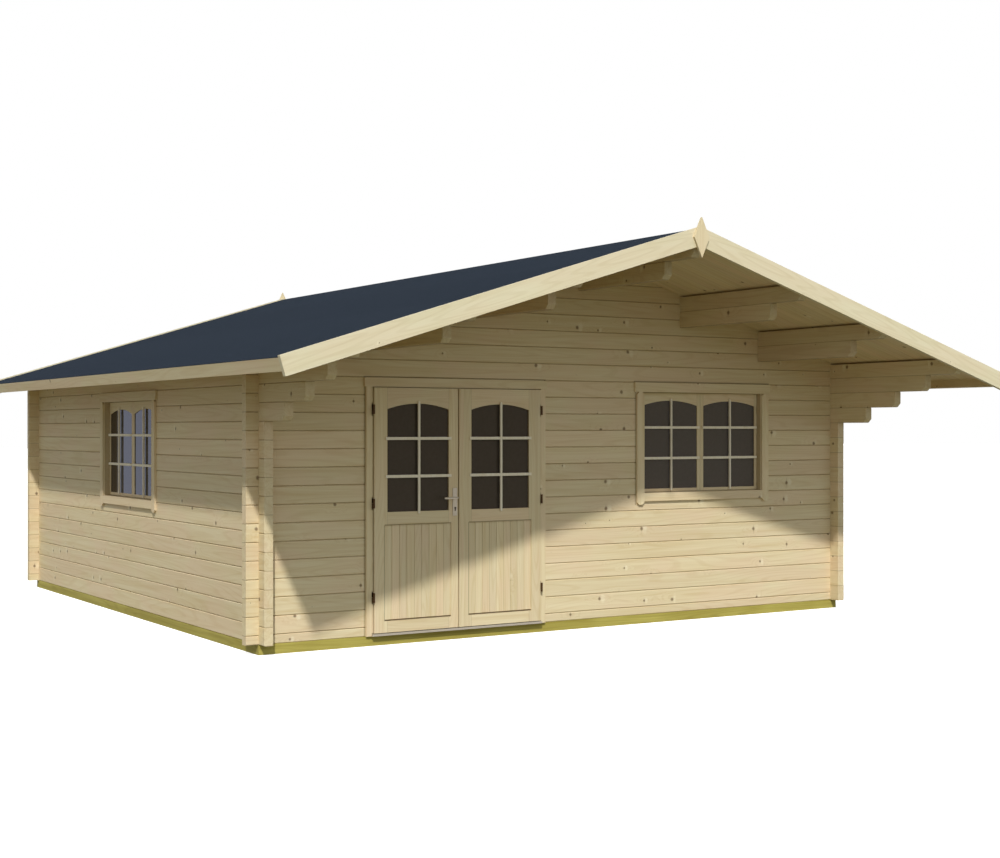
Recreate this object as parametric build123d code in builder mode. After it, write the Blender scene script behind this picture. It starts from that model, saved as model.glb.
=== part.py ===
from build123d import *
import math
import os
from collections import namedtuple

# A gabled log cabin with a deep front roof, in millimetres.
# +X is to the right seen from the front, the front faces -Y, and the ground is at Z = 0.

# Log walls
wall_width = 5750
wall_depth = 5800
log_thickness = 70
log_height = 136
log_bevel = 6
log_end_overhang = 100
side_log_count = 16
notch_clearance = 0.5
corbel_count = 4
corbel_step = 350
log_end_chamfer = 35

# Foundation and floor
foundation_height = 76
foundation_beam_width = 100
joist_width = 45
joist_count = 9
floor_thickness = 28
floor_edge_gap = 5

# Roof
roof_pitch = 17.1
roof_front_overhang = 1500
roof_back_overhang = 150
eave_overhang = 489
roof_seat_rise = 10
roof_board_thickness = 18
roof_felt_thickness = 3
ridge_gap = 1
bargeboard_thickness = 36
bargeboard_height = 138
bargeboard_rise = 11
fascia_thickness = 20
fascia_height = 90
finial_width = 143
finial_height = 303
finial_thickness = 20
finial_rise = 68
purlin_courses_above_wall = (0, 2)

# Double door, measured from the front wall's outer face
door_centre_x = -1188
door_clear_width = 1544
jamb_thickness = 40
door_stop_width = 28
door_stop_gap = 5
threshold_height = 16
threshold_nose = 40
leaf_thickness = 45
leaf_projection = 35
leaf_height = 1870
leaf_side_gap = 16
leaf_meeting_gap = 8
leaf_top_gap = 6
leaf_bottom_gap = 6
meeting_offset = -16
door_trim_width = 44
door_head_trim_overhang = 14
trim_thickness = 20
meeting_strip_width = 40
meeting_strip_thickness = 8

# Glass and boarded panel in each door leaf
leaf_glass_spacing = 748
leaf_glass_width = 542
leaf_glass_bottom = 919
leaf_glass_spring = 1706
leaf_glass_crown = 1750
leaf_panel_width = 588
leaf_panel_bottom = 87
leaf_panel_top = 819
panel_thickness = 20
panel_setback = 10
panel_groove_depth = 10
panel_edge_clearance = 1
board_count = 9
board_groove_width = 5
board_groove_depth = 3
panel_foot_height = 12
panel_foot_depth = 10
glass_thickness = 4
glass_setback = 16
glass_rebate = 8
glass_edge_clearance = 1

# Hinges, handle plates and lever, with their round pieces as prisms of a few sides
round_sides = 12
hinge_radius = 8
hinge_barrel_length = 36
hinge_gap = 0.3
hinge_pin_radius = 4
hinge_pin_length = 28
hinge_pin_clearance = 0.05
hinge_plate_thickness = 3
hinge_height_shares = (0.145, 0.528, 0.911)
handle_backset = 30
handle_plate_width = 40
handle_plate_height = 220
handle_plate_thickness = 8
handle_plate_chamfer = 8
handle_plate_bottom = 874
lever_height = 1016
lever_radius = 8
lever_reach = 50
lever_length = 125
lever_clearance = 0.3
spindle_hole_clearance = 2
keyhole_radius = 4
keyhole_drop = 80

# Windows: two casements in one frame, measured from the wall's outer face
front_window_x = 1298
window_first_course = 7
window_clear_width = 1307
window_clear_height = 858
window_frame_depth = 110
window_frame_thickness = 40
window_sill_thickness = 12
casement_setback = 46
casement_thickness = 45
casement_count = 2
casement_gap = 3
casement_foot_height = 8
casement_foot_depth = 12
casement_glass_spacing = 658
casement_glass_setback = 6
casement_glass_width = 586
casement_glass_bottom = 32
casement_glass_spring = 746
casement_glass_crown = 788
window_trim_width = 75
window_trim_reveal = 6
window_trim_drop = 98
window_trim_chamfer = 20
window_head_trim_overhang = 21
window_sill_trim_height = 70

# One overrun serves every cut that passes right through
overrun = 20

# Places that follow from the sizes above
pitch = math.radians(roof_pitch)
half_width = wall_width / 2
front_reach = roof_front_overhang + bargeboard_thickness + finial_thickness
back_reach = roof_back_overhang + bargeboard_thickness + finial_thickness
front_y = (front_reach - wall_depth - back_reach) / 2
back_y = front_y + wall_depth
roof_front_y = front_y - roof_front_overhang
roof_back_y = back_y + roof_back_overhang
roof_length = roof_back_y - roof_front_y
half_log = log_height / 2
quarter_log = half_log / 2
wall_top = foundation_height + side_log_count * log_height
ridge_underside = wall_top + roof_seat_rise + (half_width - log_thickness) * math.tan(pitch)
roof_slope_length = (half_width + eave_overhang) / math.cos(pitch)
roof_top_rise = roof_board_thickness + roof_felt_thickness

# A log or beam that runs from front to back
Beam = namedtuple("Beam", "x bottom top front_reach back_reach")


def side_course(course):
    """Height of the underside of a side-wall course, counted from the foundation."""
    return foundation_height + course * log_height


def gable_course(course):
    """Height of the underside of a full gable-wall course, which stands on a half log."""
    return foundation_height + half_log + course * log_height


def roof_height(x, rise=0):
    """Height at x of a plane raised square to the slope from the roof's underside."""
    return ridge_underside + rise / math.cos(pitch) - abs(x) * math.tan(pitch)


def slope_point(side, along, rise):
    """A point a distance down the slope from the ridge, raised square to the slope."""
    x = along * math.cos(pitch) + rise * math.sin(pitch)
    z = ridge_underside - along * math.sin(pitch) + rise * math.cos(pitch)
    return (side * x, z)


def beam_seat(x):
    """Height where the eased outer edge of a beam's flat top meets the roof boards."""
    return roof_height(abs(x) + log_thickness / 2 - log_bevel)


def save(piece, label):
    """Label a finished piece and write it as the node of that name."""
    piece.part.label = label
    export_step(piece.part, f"parts/{label}.step")


def side_log(side, course):
    """A side-wall log. The top few step forward as corbels under the roof."""
    steps_down = side_log_count - 1 - course
    reach = log_end_overhang
    if steps_down < corbel_count:
        reach = roof_front_overhang - steps_down * corbel_step
    bottom = side_course(course)
    x = side * (half_width - log_thickness / 2)
    return Beam(x, bottom, min(bottom + log_height, beam_seat(x)), reach, log_end_overhang)


def purlin_pair(x, course):
    """The lower and upper beam of one purlin."""
    middle = side_course(course + 1)
    lower_reach = roof_front_overhang - corbel_step
    lower = Beam(x, side_course(course), middle, lower_reach, log_end_overhang)
    upper = Beam(x, middle, beam_seat(x), roof_front_overhang, roof_back_overhang)
    return lower, upper


def purlin_pairs():
    """The ridge purlin and the purlins on each slope, set so that two whole courses reach the roof."""
    ridge_course = int((beam_seat(0) - foundation_height) / log_height) - 2
    pairs = [purlin_pair(0, ridge_course)]
    for courses_up in purlin_courses_above_wall:
        course = side_log_count + courses_up
        top = side_course(course + 2)
        x = (ridge_underside - roof_seat_rise - top) / math.tan(pitch) + log_thickness / 2
        pairs.append(purlin_pair(-x, course))
        pairs.append(purlin_pair(x, course))
    return pairs


side_beams = {side: [side_log(side, course) for course in range(side_log_count)] for side in (-1, 1)}
lower_purlins = [lower for lower, upper in purlin_pairs()]
upper_purlins = [upper for lower, upper in purlin_pairs()]
crossing_beams = side_beams[-1] + side_beams[1] + lower_purlins + upper_purlins


def keep_under_roof():
    """Cut the current part off along the underside of the roof boards."""
    reach = half_width + log_end_overhang + overrun
    eave = roof_height(reach)
    with BuildSketch(Plane.XZ.offset(-roof_back_y - overrun)) as below:
        Polygon((-reach, 0), (reach, 0), (reach, eave), (0, ridge_underside), (-reach, eave), align=None)
    extrude(below.sketch, amount=roof_length + 2 * overrun, mode=Mode.INTERSECT)


def beam_bodies(beams, front_reach, back_reach):
    """Beams of one length, bevelled along the edges that face outward."""
    with BuildSketch(Plane.XZ.offset(-back_y - back_reach)) as sections:
        for beam in beams:
            with BuildSketch(mode=Mode.PRIVATE) as section:
                with Locations((beam.x, (beam.bottom + beam.top) / 2)):
                    Rectangle(log_thickness, beam.top - beam.bottom)
                outward_corners = [corner for corner in section.vertices() if abs(corner.X) > abs(beam.x)]
                chamfer(outward_corners, log_bevel)
            add(section.sketch)
    extrude(sections.sketch, amount=front_reach + wall_depth + back_reach)


def chamfer_front_end(beam):
    """Cut the lower corner off the front end of a beam that steps forward."""
    front_end = front_y - beam.front_reach
    with BuildSketch(Plane.YZ.offset(beam.x - log_thickness / 2)) as corner:
        Polygon(
            (front_end, beam.bottom),
            (front_end + log_end_chamfer, beam.bottom),
            (front_end, beam.bottom + log_end_chamfer),
            align=None,
        )
    extrude(corner.sketch, amount=log_thickness, mode=Mode.SUBTRACT)


def beam_notches(beams):
    """Cut each beam down to its middle half where it crosses a gable wall."""
    core_top = quarter_log + half_log
    for low, high in ((0, quarter_log), (core_top, 2 * log_height)):
        places = [
            (beam.x, wall_y, beam.bottom + (low + high) / 2)
            for beam in beams
            for wall_y in (front_y + log_thickness / 2, back_y - log_thickness / 2)
        ]
        with Locations(*places):
            Box(log_thickness, log_thickness + 2 * notch_clearance, high - low, mode=Mode.SUBTRACT)


def lengthwise_logs(label, beams, opening=None):
    """Logs or purlins that run from front to back and lock into both gable walls."""
    with BuildPart() as logs:
        for reaches in sorted({(beam.front_reach, beam.back_reach) for beam in beams}):
            beam_bodies([beam for beam in beams if (beam.front_reach, beam.back_reach) == reaches], *reaches)
        for beam in beams:
            if beam.front_reach > log_end_overhang:
                chamfer_front_end(beam)
        beam_notches(beams)
        if opening:
            centre, size = opening
            with Locations(centre):
                Box(*size, mode=Mode.SUBTRACT)
    save(logs, label)


def gable_logs(label, outer_y, inward, courses, openings=()):
    """Logs of a gable wall, notched for every log and purlin that crosses them."""
    wall_y = outer_y + inward * log_thickness / 2
    full_length = wall_width + 2 * log_end_overhang
    with BuildPart() as logs:
        with BuildSketch(Plane.YZ.offset(-full_length / 2)) as sections:
            for course in courses:
                top = gable_course(course + 1)
                bottom = max(gable_course(course), foundation_height)
                with Locations((wall_y, (bottom + top) / 2)):
                    Rectangle(log_thickness, top - bottom)
            outward_corners = [corner for corner in sections.vertices() if inward * (corner.X - wall_y) < 0]
            chamfer(outward_corners, log_bevel)
        extrude(amount=full_length)
        core_places = [(beam.x, wall_y, beam.bottom + half_log) for beam in crossing_beams]
        with Locations(*core_places):
            Box(log_thickness + 2 * notch_clearance, log_thickness, half_log, mode=Mode.SUBTRACT)
        keep_under_roof()
        for centre, size in openings:
            with Locations(centre):
                Box(*size, mode=Mode.SUBTRACT)
    save(logs, label)


# Heights of the door: threshold, leaf and the head, which fills up to the next log
threshold_top = foundation_height + threshold_height
leaf_bottom = threshold_top + leaf_bottom_gap
leaf_top = leaf_bottom + leaf_height
head_bottom = leaf_top + leaf_top_gap
door_course_count = math.ceil((head_bottom + jamb_thickness - gable_course(0)) / log_height)

# Openings in the walls: a centre and a size, running past both faces of the wall
through = log_thickness + 2 * overrun
door_opening_width = door_clear_width + 2 * jamb_thickness
door_opening_top = gable_course(door_course_count)
door_opening = (
    (door_centre_x, front_y + log_thickness / 2, (foundation_height + door_opening_top) / 2),
    (door_opening_width, through, door_opening_top - foundation_height),
)
window_opening_width = window_clear_width + 2 * window_frame_thickness
window_frame_height = window_sill_thickness + window_clear_height + window_frame_thickness
window_opening_height = math.ceil(window_frame_height / log_height) * log_height
front_window_bottom = gable_course(window_first_course)
side_window_bottom = side_course(window_first_course)
side_window_y = front_y + wall_depth / 2
front_window_opening = (
    (front_window_x, front_y + log_thickness / 2, front_window_bottom + window_opening_height / 2),
    (window_opening_width, through, window_opening_height),
)
side_window_opening = (
    (log_thickness / 2 - half_width, side_window_y, side_window_bottom + window_opening_height / 2),
    (through, window_opening_width, window_opening_height),
)

os.makedirs("parts", exist_ok=True)

# Foundation and floor
side_beam_length = wall_depth - 2 * foundation_beam_width
inner_width = wall_width - 2 * foundation_beam_width
beam_height_place = foundation_height / 2

with BuildPart() as foundation_cross_beams:
    with Locations((0, front_y + wall_depth / 2, beam_height_place)):
        with GridLocations(0, wall_depth - foundation_beam_width, 1, 2):
            Box(wall_width, foundation_beam_width, foundation_height)
save(foundation_cross_beams, "foundation_cross_beams")

with BuildPart() as foundation_side_beams:
    with Locations((0, front_y + wall_depth / 2, beam_height_place)):
        with GridLocations(wall_width - foundation_beam_width, 0, 2, 1):
            Box(foundation_beam_width, side_beam_length, foundation_height)
save(foundation_side_beams, "foundation_side_beams")

with BuildPart() as floor_joists:
    with Locations((0, front_y + wall_depth / 2, beam_height_place)):
        with GridLocations(inner_width / (joist_count + 1), 0, joist_count, 1):
            Box(joist_width, side_beam_length, foundation_height)
save(floor_joists, "floor_joists")

floor_inset = log_thickness + floor_edge_gap
with BuildPart() as floor_deck:
    with Locations((0, front_y + wall_depth / 2, foundation_height + floor_thickness / 2)):
        Box(wall_width - 2 * floor_inset, wall_depth - 2 * floor_inset, floor_thickness)
save(floor_deck, "floor_deck")

# Log walls, each as two nodes of alternate courses
gable_course_count = math.ceil((ridge_underside - gable_course(0)) / log_height)
lower_gable_courses = range(0, gable_course_count, 2)
upper_gable_courses = range(-1, gable_course_count, 2)
front_openings = (door_opening, front_window_opening)
gable_logs("front_wall_full_courses", front_y, 1, lower_gable_courses, front_openings)
gable_logs("front_wall_half_courses", front_y, 1, upper_gable_courses, front_openings)
gable_logs("back_wall_full_courses", back_y, -1, lower_gable_courses)
gable_logs("back_wall_half_courses", back_y, -1, upper_gable_courses)
lengthwise_logs("left_wall_even_courses", side_beams[-1][0::2], side_window_opening)
lengthwise_logs("left_wall_odd_courses", side_beams[-1][1::2], side_window_opening)
lengthwise_logs("right_wall_even_courses", side_beams[1][0::2])
lengthwise_logs("right_wall_odd_courses", side_beams[1][1::2])

# Purlins
lengthwise_logs("lower_purlins", lower_purlins)
lengthwise_logs("upper_purlins", upper_purlins)


def slope_band(side, start, end, low, high):
    """A band of the roof's section, cut plumb at the ridge, in the current sketch."""
    Polygon(
        (side * start, roof_height(start, low)),
        slope_point(side, end, low),
        slope_point(side, end, high),
        (side * start, roof_height(start, high)),
        align=None,
    )


# Roof
with BuildPart() as roof_deck:
    with BuildSketch(Plane.XZ.offset(-roof_back_y)):
        for side in (-1, 1):
            slope_band(side, ridge_gap / 2, roof_slope_length, 0, roof_board_thickness)
    extrude(amount=roof_length)
save(roof_deck, "roof_deck")

eave_end = roof_slope_length + fascia_thickness
with BuildPart() as roof_felt:
    with BuildSketch(Plane.XZ.offset(-roof_back_y)):
        for side in (-1, 1):
            slope_band(side, ridge_gap / 2, eave_end, roof_board_thickness, roof_top_rise)
    extrude(amount=roof_length)
save(roof_felt, "roof_felt")

# Bargeboards stand a little above the felt, and the fascias carry its lower edge
bargeboard_top = roof_top_rise + bargeboard_rise
bargeboard_bottom = bargeboard_top - bargeboard_height
with BuildPart() as bargeboards:
    for board_back_y in (roof_front_y, roof_back_y + bargeboard_thickness):
        with BuildSketch(Plane.XZ.offset(-board_back_y)):
            for side in (-1, 1):
                slope_band(side, ridge_gap / 2, eave_end, bargeboard_bottom, bargeboard_top)
        extrude(amount=bargeboard_thickness)
save(bargeboards, "bargeboards")

finial_top = roof_height(0, bargeboard_top) + finial_rise
with BuildPart() as gable_finials:
    for finial_back_y in (roof_front_y - bargeboard_thickness, back_y + back_reach):
        with BuildSketch(Plane.XZ.offset(-finial_back_y)):
            Polygon(
                (0, finial_top),
                (-finial_width / 2, finial_top - finial_height / 2),
                (0, finial_top - finial_height),
                (finial_width / 2, finial_top - finial_height / 2),
                align=None,
            )
        extrude(amount=finial_thickness)
save(gable_finials, "gable_finials")

with BuildPart() as eave_fascias:
    with BuildSketch(Plane.XZ.offset(-roof_back_y)):
        for side in (-1, 1):
            Polygon(
                slope_point(side, roof_slope_length, roof_board_thickness),
                slope_point(side, eave_end, roof_board_thickness),
                slope_point(side, eave_end, roof_board_thickness - fascia_height),
                slope_point(side, roof_slope_length, roof_board_thickness - fascia_height),
                align=None,
            )
    extrude(amount=roof_length)
save(eave_fascias, "eave_fascias")


def arched_outline(centre, width, bottom, spring, crown, mode=Mode.ADD):
    """An upright opening with a flat arch, in the current sketch."""
    left = centre - width / 2
    right = centre + width / 2
    with BuildLine() as outline:
        Polyline((left, spring), (left, bottom), (right, bottom), (right, spring))
        ThreePointArc((right, spring), (centre, crown), (left, spring))
    make_face(outline.edges(), mode=mode)


def grown_arch(centre, width, bottom, spring, crown, grow):
    """The same outline with its edges moved outward."""
    arched_outline(centre, width + 2 * grow, bottom - grow, spring, crown + grow)


# Door frame
leaf_front_y = front_y - leaf_projection
leaf_back_y = leaf_front_y + leaf_thickness
door_stop_y = leaf_back_y + door_stop_gap
door_stop_depth = front_y + log_thickness - door_stop_y
door_half = door_clear_width / 2
jamb_reach = door_half + jamb_thickness

with BuildPart() as door_jambs:
    for side in (-1, 1):
        jamb_x = door_centre_x + side * (door_half + jamb_thickness / 2)
        stop_x = door_centre_x + side * (door_half - door_stop_width / 2)
        with Locations((jamb_x, front_y, foundation_height)):
            Box(
                jamb_thickness,
                log_thickness,
                head_bottom - foundation_height,
                align=(Align.CENTER, Align.MIN, Align.MIN),
            )
        with Locations((stop_x, door_stop_y, threshold_top)):
            Box(
                door_stop_width,
                door_stop_depth,
                head_bottom - threshold_top,
                align=(Align.CENTER, Align.MIN, Align.MIN),
            )
save(door_jambs, "door_jambs")

with BuildPart() as door_head:
    with Locations((door_centre_x, front_y, head_bottom)):
        Box(
            2 * jamb_reach,
            log_thickness,
            door_opening_top - head_bottom,
            align=(Align.CENTER, Align.MIN, Align.MIN),
        )
    with Locations((door_centre_x, door_stop_y, head_bottom)):
        Box(
            door_clear_width - 2 * door_stop_width,
            door_stop_depth,
            door_stop_width,
            align=(Align.CENTER, Align.MIN, Align.MAX),
        )
save(door_head, "door_head")

with BuildPart() as door_threshold:
    with Locations((door_centre_x, front_y - threshold_nose, foundation_height)):
        Box(
            door_clear_width,
            threshold_nose + log_thickness,
            threshold_height,
            align=(Align.CENTER, Align.MIN, Align.MIN),
        )
save(door_threshold, "door_threshold")

with BuildPart() as door_side_trims:
    for side in (-1, 1):
        trim_x = door_centre_x + side * (door_half + door_trim_width / 2)
        with Locations((trim_x, front_y, foundation_height)):
            Box(
                door_trim_width,
                trim_thickness,
                head_bottom - foundation_height,
                align=(Align.CENTER, Align.MAX, Align.MIN),
            )
save(door_side_trims, "door_side_trims")

with BuildPart() as door_head_trim:
    with Locations((door_centre_x, front_y, head_bottom)):
        Box(
            door_clear_width + 2 * (door_trim_width + door_head_trim_overhang),
            trim_thickness,
            door_opening_top - log_bevel - head_bottom,
            align=(Align.CENTER, Align.MAX, Align.MIN),
        )
save(door_head_trim, "door_head_trim")

# Door leaves, drawn on the outer face of the leaf with heights above the leaf's bottom edge
leaf_plane = Plane(
    origin=(door_centre_x, leaf_front_y, leaf_bottom), x_dir=(1, 0, 0), z_dir=(0, -1, 0)
)
meeting_edge = {
    -1: meeting_offset - leaf_meeting_gap / 2,
    1: meeting_offset + leaf_meeting_gap / 2,
}
hinge_edge = {side: side * (door_half - leaf_side_gap) for side in (-1, 1)}
handle_x = meeting_edge[-1] - handle_backset
spindle_hole_radius = lever_radius + spindle_hole_clearance


def door_leaf(side):
    """The leaf's glued stiles and rails, with grooves for the glass and the panel."""
    glass_centre = side * leaf_glass_spacing / 2
    glass_sizes = (glass_centre, leaf_glass_width, leaf_glass_bottom, leaf_glass_spring, leaf_glass_crown)
    panel_place = (glass_centre, (leaf_panel_bottom + leaf_panel_top) / 2)
    panel_height = leaf_panel_top - leaf_panel_bottom
    with BuildPart() as leaf:
        with BuildSketch(leaf_plane):
            with Locations(((meeting_edge[side] + hinge_edge[side]) / 2, leaf_height / 2)):
                Rectangle(abs(hinge_edge[side] - meeting_edge[side]), leaf_height)
            arched_outline(*glass_sizes, mode=Mode.SUBTRACT)
            with Locations(panel_place):
                Rectangle(leaf_panel_width, panel_height, mode=Mode.SUBTRACT)
            if side < 0:
                with Locations((handle_x, lever_height)):
                    RegularPolygon(spindle_hole_radius, round_sides, False, mode=Mode.SUBTRACT)
        extrude(amount=-leaf_thickness)
        with BuildSketch(leaf_plane.offset(-glass_setback)):
            grown_arch(*glass_sizes, glass_rebate)
        extrude(amount=-glass_thickness, mode=Mode.SUBTRACT)
        with BuildSketch(leaf_plane.offset(-panel_setback)):
            with Locations(panel_place):
                Rectangle(leaf_panel_width + 2 * panel_groove_depth, panel_height + 2 * panel_groove_depth)
        extrude(amount=-panel_thickness, mode=Mode.SUBTRACT)
    return leaf


def leaf_glass(side):
    """The pane that sits in the leaf's groove."""
    glass_centre = side * leaf_glass_spacing / 2
    glass_sizes = (glass_centre, leaf_glass_width, leaf_glass_bottom, leaf_glass_spring, leaf_glass_crown)
    with BuildPart() as pane:
        with BuildSketch(leaf_plane.offset(-glass_setback)):
            grown_arch(*glass_sizes, glass_rebate - glass_edge_clearance)
        extrude(amount=-glass_thickness)
    return pane


def leaf_panel(side):
    """The boarded panel that sits in the leaf's lower groove, rebated along its foot."""
    tongue = panel_groove_depth - panel_edge_clearance
    panel_height = leaf_panel_top - leaf_panel_bottom
    panel_x = side * leaf_glass_spacing / 2
    panel_place = (panel_x, (leaf_panel_bottom + leaf_panel_top) / 2)
    board_pitch = leaf_panel_width / board_count
    with BuildPart() as panel:
        with BuildSketch(leaf_plane.offset(-panel_setback)):
            with Locations(panel_place):
                Rectangle(leaf_panel_width + 2 * tongue, panel_height + 2 * tongue)
        extrude(amount=-panel_thickness)
        with BuildSketch(leaf_plane.offset(-panel_setback)):
            with Locations(panel_place):
                with GridLocations(board_pitch, 0, board_count - 1, 1):
                    Rectangle(board_groove_width, panel_height)
        extrude(amount=-board_groove_depth, mode=Mode.SUBTRACT)
        with BuildSketch(leaf_plane.offset(-panel_setback)):
            with Locations((panel_x, leaf_panel_bottom + panel_foot_height / 2)):
                Rectangle(leaf_panel_width, panel_foot_height)
        extrude(amount=-panel_foot_depth, mode=Mode.SUBTRACT)
    return panel


def hinge_axis(side):
    """Where the hinge pins stand, in the middle of the gap beside the leaf."""
    return (door_centre_x + side * (door_half - leaf_side_gap / 2), leaf_front_y - hinge_radius)


hinge_heights = [leaf_bottom + share * leaf_height for share in hinge_height_shares]


def hinge_halves(side, plate_edge, plate_side, lift):
    """The barrels of three hinges, each with the plate that fixes it, in the current part."""
    axis_x, axis_y = hinge_axis(side)
    for height in hinge_heights:
        with BuildSketch(Plane.XY.offset(height + lift)) as half:
            with Locations((axis_x, axis_y)):
                RegularPolygon(hinge_radius, round_sides)
            with Locations((plate_edge + plate_side * hinge_plate_thickness / 2, (axis_y + leaf_back_y) / 2)):
                Rectangle(hinge_plate_thickness, leaf_back_y - axis_y)
        extrude(half.sketch, amount=hinge_barrel_length)


def frame_hinges(side):
    """The lower halves, with their pins, on the door frame."""
    axis_x, axis_y = hinge_axis(side)
    with BuildPart() as halves:
        hinge_halves(side, door_centre_x + side * door_half, -side, -hinge_barrel_length)
        for height in hinge_heights:
            with BuildSketch(Plane.XY.offset(height)):
                with Locations((axis_x, axis_y)):
                    RegularPolygon(hinge_pin_radius, round_sides)
            extrude(amount=hinge_pin_length)
    return halves


def leaf_hinges(side):
    """The upper halves, bored for the pins, on the edge of the leaf."""
    axis_x, axis_y = hinge_axis(side)
    with BuildPart() as halves:
        hinge_halves(side, door_centre_x + hinge_edge[side], side, hinge_gap)
        for height in hinge_heights:
            with BuildSketch(Plane.XY.offset(height + hinge_gap)):
                with Locations((axis_x, axis_y)):
                    RegularPolygon(hinge_pin_radius + hinge_pin_clearance, round_sides, False)
            extrude(amount=hinge_pin_length, mode=Mode.SUBTRACT)
    return halves


for side, name in ((-1, "left"), (1, "right")):
    save(door_leaf(side), f"{name}_door_leaf")
    save(leaf_glass(side), f"{name}_door_glass")
    save(leaf_panel(side), f"{name}_door_panel")
    save(frame_hinges(side), f"{name}_door_frame_hinges")
    save(leaf_hinges(side), f"{name}_door_leaf_hinges")

with BuildPart() as meeting_strip:
    with BuildSketch(leaf_plane):
        with Locations((meeting_edge[1] + meeting_strip_width / 2, leaf_height / 2)):
            Rectangle(meeting_strip_width, leaf_height)
    extrude(amount=meeting_strip_thickness)
save(meeting_strip, "door_meeting_strip")

plate_centre = handle_plate_bottom + handle_plate_height / 2
with BuildPart() as handle_plates:
    for face, outward in ((leaf_plane, 1), (leaf_plane.offset(-leaf_thickness), -1)):
        with BuildSketch(face) as plate:
            with Locations((handle_x, plate_centre)):
                Rectangle(handle_plate_width, handle_plate_height)
            chamfer(plate.vertices(), handle_plate_chamfer)
            with Locations((handle_x, lever_height)):
                RegularPolygon(lever_radius + lever_clearance, round_sides, False, mode=Mode.SUBTRACT)
            with Locations((handle_x, lever_height - keyhole_drop)):
                RegularPolygon(keyhole_radius, round_sides, mode=Mode.SUBTRACT)
        extrude(amount=outward * handle_plate_thickness)
save(handle_plates, "door_handle_plates")

lever_x = door_centre_x + handle_x
lever_z = leaf_bottom + lever_height
lever_outer_y = leaf_front_y - handle_plate_thickness - lever_reach
lever_inner_y = leaf_back_y + handle_plate_thickness + lever_reach
with BuildPart() as door_lever:
    with BuildLine() as lever_line:
        Polyline(
            (lever_x - lever_length, lever_outer_y, lever_z),
            (lever_x, lever_outer_y, lever_z),
            (lever_x, lever_inner_y, lever_z),
            (lever_x - lever_length, lever_inner_y, lever_z),
        )
    with BuildSketch(Plane(origin=lever_line.line @ 0, z_dir=lever_line.line % 0)):
        RegularPolygon(lever_radius, round_sides)
    sweep(transition=Transition.RIGHT)
save(door_lever, "door_lever")


def window(prefix, face):
    """A two-casement window. The face is the wall's outer face at the opening's lower edge."""
    clear_bottom = window_sill_thickness
    clear_top = clear_bottom + window_clear_height
    clear_centre = (0, (clear_bottom + clear_top) / 2)
    casement_width = (window_clear_width - (casement_count + 1) * casement_gap) / casement_count
    casement_height = window_clear_height - casement_gap
    casement_face = face.offset(-casement_setback)
    glass_face = casement_face.offset(-casement_glass_setback)
    glass_places = [
        (
            side * casement_glass_spacing / 2,
            casement_glass_width,
            clear_bottom + casement_glass_bottom,
            clear_bottom + casement_glass_spring,
            clear_bottom + casement_glass_crown,
        )
        for side in (-1, 1)
    ]

    with BuildPart() as frame:
        with BuildSketch(face):
            with Locations((0, window_opening_height / 2)):
                Rectangle(window_opening_width, window_opening_height)
            with Locations(clear_centre):
                Rectangle(window_clear_width, window_clear_height, mode=Mode.SUBTRACT)
        extrude(amount=-window_frame_depth)
    save(frame, f"{prefix}_frame")

    with BuildPart() as casements:
        with BuildSketch(casement_face):
            with Locations((0, clear_bottom + casement_height / 2)):
                with GridLocations(casement_width + casement_gap, 0, casement_count, 1):
                    Rectangle(casement_width, casement_height)
        extrude(amount=-casement_thickness)
        with BuildSketch(casement_face):
            for glass in glass_places:
                arched_outline(*glass)
        extrude(amount=-casement_thickness, mode=Mode.SUBTRACT)
        with BuildSketch(glass_face):
            for glass in glass_places:
                grown_arch(*glass, glass_rebate)
        extrude(amount=-glass_thickness, mode=Mode.SUBTRACT)
        with BuildSketch(casement_face):
            with Locations((0, clear_bottom + casement_foot_height / 2)):
                Rectangle(window_clear_width, casement_foot_height)
        extrude(amount=-casement_foot_depth, mode=Mode.SUBTRACT)
    save(casements, f"{prefix}_casements")

    with BuildPart() as panes:
        with BuildSketch(glass_face):
            for glass in glass_places:
                grown_arch(*glass, glass_rebate - glass_edge_clearance)
        extrude(amount=-glass_thickness)
    save(panes, f"{prefix}_panes")

    trim_inner = window_clear_width / 2 + window_trim_reveal
    trim_bottom = clear_bottom - window_trim_drop
    with BuildPart() as side_trims:
        with BuildSketch(face) as outline:
            for side in (-1, 1):
                with Locations((side * (trim_inner + window_trim_width / 2), (trim_bottom + clear_top) / 2)):
                    Rectangle(window_trim_width, clear_top - trim_bottom)
            chamfer(outline.vertices().group_by(Axis.Z)[0], window_trim_chamfer)
        extrude(amount=trim_thickness)
    save(side_trims, f"{prefix}_side_trims")

    head_trim_width = 2 * (trim_inner + window_trim_width + window_head_trim_overhang)
    with BuildPart() as cross_trims:
        with BuildSketch(face):
            with Locations((0, (clear_top + window_opening_height) / 2)):
                Rectangle(head_trim_width, window_opening_height - clear_top)
            with Locations((0, clear_bottom - window_sill_trim_height / 2)):
                Rectangle(2 * trim_inner, window_sill_trim_height)
        extrude(amount=trim_thickness)
    save(cross_trims, f"{prefix}_cross_trims")


front_window_place = (front_window_x, front_y, front_window_bottom)
left_window_place = (-half_width, side_window_y, side_window_bottom)
window("front_window", Plane(origin=front_window_place, x_dir=(1, 0, 0), z_dir=(0, -1, 0)))
window("left_window", Plane(origin=left_window_place, x_dir=(0, -1, 0), z_dir=(-1, 0, 0)))
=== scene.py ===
import math

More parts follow.
